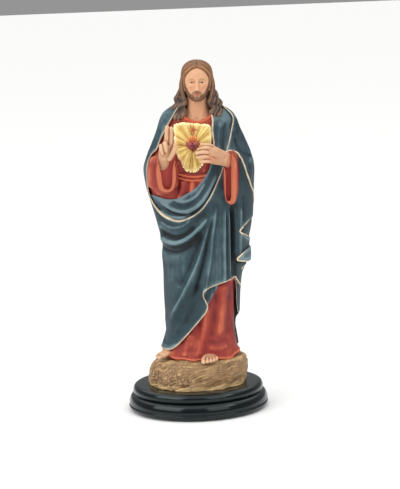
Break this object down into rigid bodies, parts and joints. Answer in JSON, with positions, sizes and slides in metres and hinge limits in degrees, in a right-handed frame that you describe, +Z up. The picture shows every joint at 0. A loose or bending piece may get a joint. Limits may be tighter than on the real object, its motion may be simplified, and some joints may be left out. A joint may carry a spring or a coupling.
{
  "type": "devotional figurine",
  "caption": "Painted standing robed figure with a heart and rays on its chest, on a rocky ground and a turned black plinth, for a shelf or niche.",
  "frame": {"origin": "under the middle of the plinth, on the surface that it stands on", "axes": "+Z up, the figure looks along -Y, its left hand side is +X"},
  "size_m": [0.1224, 0.1224, 0.304],
  "materials": {
    "painted_resin": "painted by hand, satin, with lighter dry brushed ridges and dark hollows",
    "black_lacquer": "turned, black high gloss lacquer"
  },
  "bodies": {
    "root": {"figure": "painted_resin", "plinth": "black_lacquer"}
  },
  "joints": []
}
